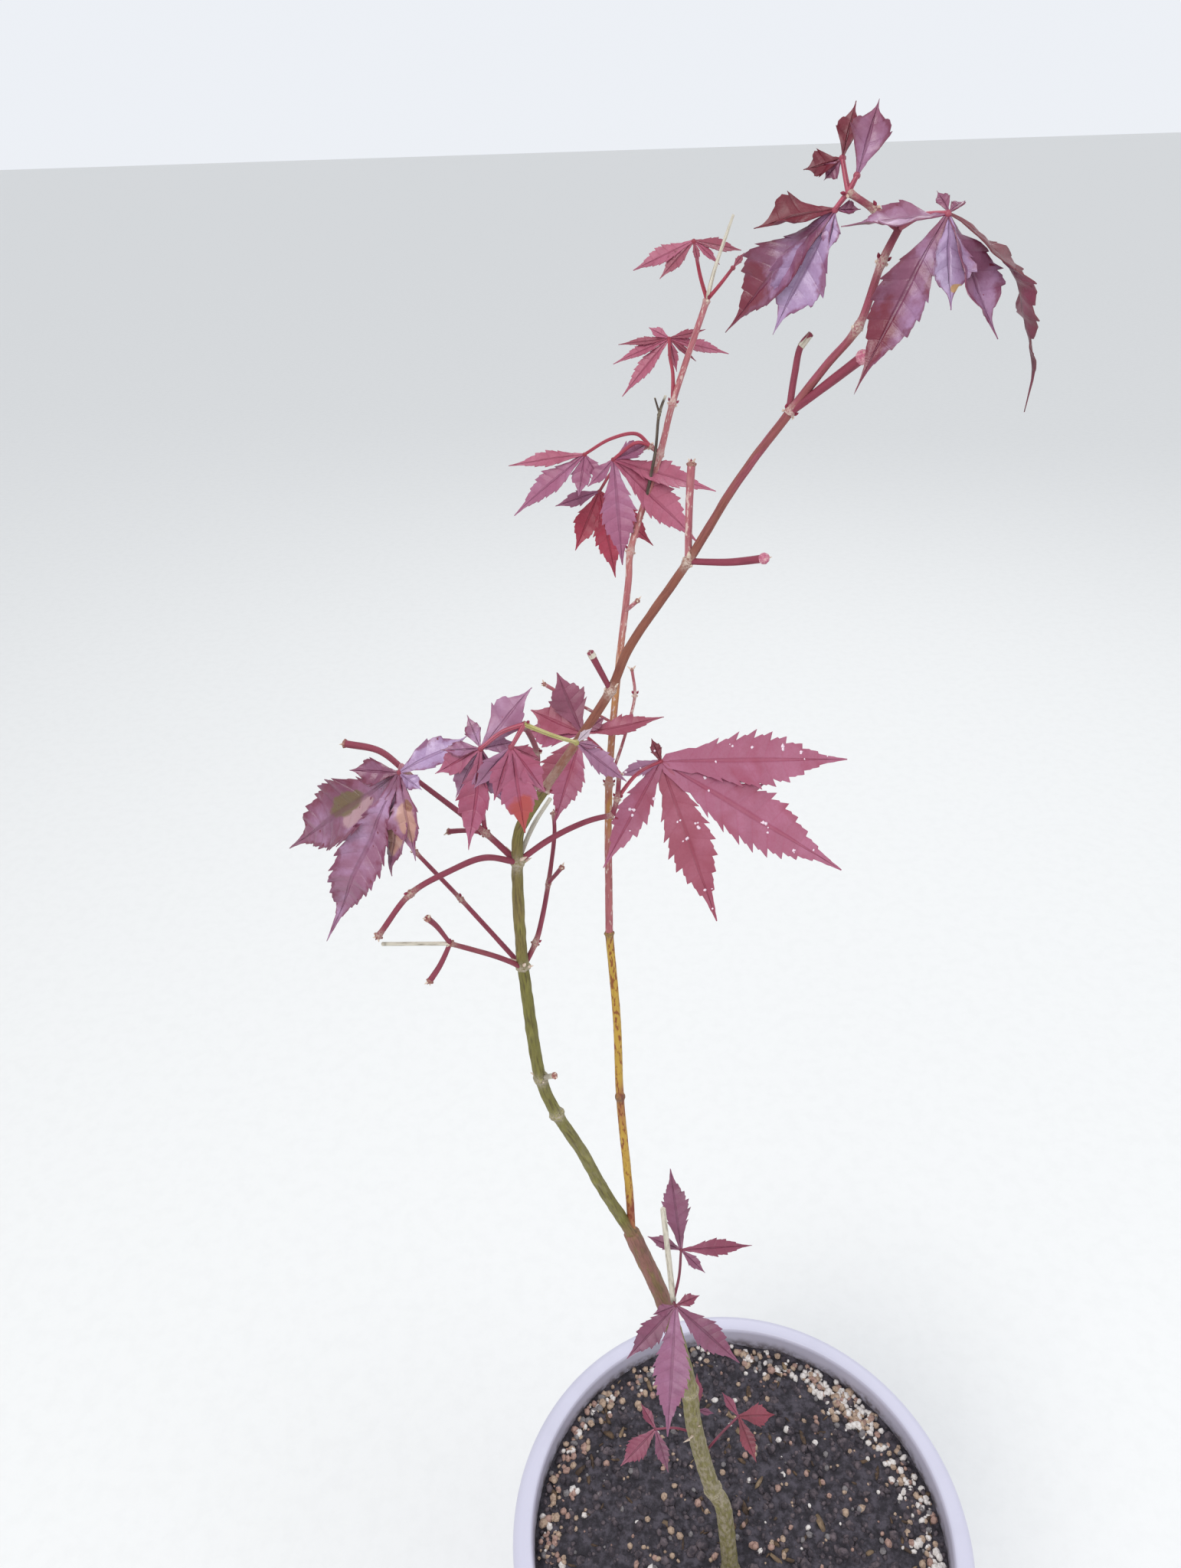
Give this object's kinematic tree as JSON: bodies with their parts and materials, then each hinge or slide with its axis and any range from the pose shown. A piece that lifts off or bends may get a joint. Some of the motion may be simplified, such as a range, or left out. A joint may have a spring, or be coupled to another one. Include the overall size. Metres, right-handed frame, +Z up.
{
  "type": "potted young maple",
  "caption": "Young maple in a round tapered planter of soil: slim leaning trunk that forks into thin stems with bare twigs and sparse curled red leaves.",
  "frame": {"origin": "centre of the planter's flat underside, where it stands", "axes": "+Z up along the plant, -Y towards the viewer, +X to the viewer's right"},
  "size_m": [0.4049, 0.356, 1.2559],
  "materials": {
    "planter": "pale lilac-white moulded plastic, satin",
    "soil": "dark damp potting mix with pale grains, matt",
    "olive_bark": "olive-green young bark with grey-brown flakes, satin",
    "brown_bark": "red-brown young bark, satin",
    "yellow_bark": "yellow-ochre young bark with red flecks, satin",
    "pink_bark": "dusty pink young bark, satin",
    "maroon_twig": "dark maroon twig bark, satin",
    "dead_wood": "bleached cream dead twig, matt",
    "rose_leaf": "dry dusty-rose leaf, matt",
    "mauve_leaf": "dry curled mauve leaf with maroon folds, slight sheen",
    "red_leaf": "dry rose-red leaf, matt",
    "wine_leaf": "dry wine-red leaf, matt"
  },
  "bodies": {
    "root": {"planter": "planter", "soil": "soil", "trunk": "olive_bark", "stem_main_lower": "olive_bark", "stem_main_middle": "olive_bark", "stem_main_upper": "brown_bark", "stem_main_tip": "brown_bark", "stem_right_lower": "yellow_bark", "stem_right_upper": "pink_bark", "twig_low_back": "maroon_twig", "twig_low_forked": "maroon_twig", "twig_low_right": "maroon_twig", "dead_twig_low": "dead_wood", "twig_high_front": "maroon_twig", "twig_high_left": "maroon_twig", "twig_high_right": "maroon_twig", "dead_twig_high": "dead_wood", "bud_twig_left": "maroon_twig", "twig_right_thin": "pink_bark", "dead_twig_right_dark": "dead_wood", "dead_twig_right_top": "dead_wood", "shoot_low": "maroon_twig", "dead_twig_shoot_low": "dead_wood", "leaves_middle_right": "rose_leaf", "leaves_far_left": "mauve_leaf", "leaves_front": "rose_leaf", "leaves_top": "mauve_leaf", "leaves_right_end": "red_leaf", "leaf_bud_right_end": "red_leaf", "leaves_right_middle": "red_leaf", "leaves_right_cluster": "red_leaf", "leaves_low_upper": "wine_leaf", "leaves_low_lower": "wine_leaf", "leaves_low_left": "wine_leaf", "leaves_low_right": "wine_leaf", "leaves_low_behind": "wine_leaf"}
  },
  "joints": []
}
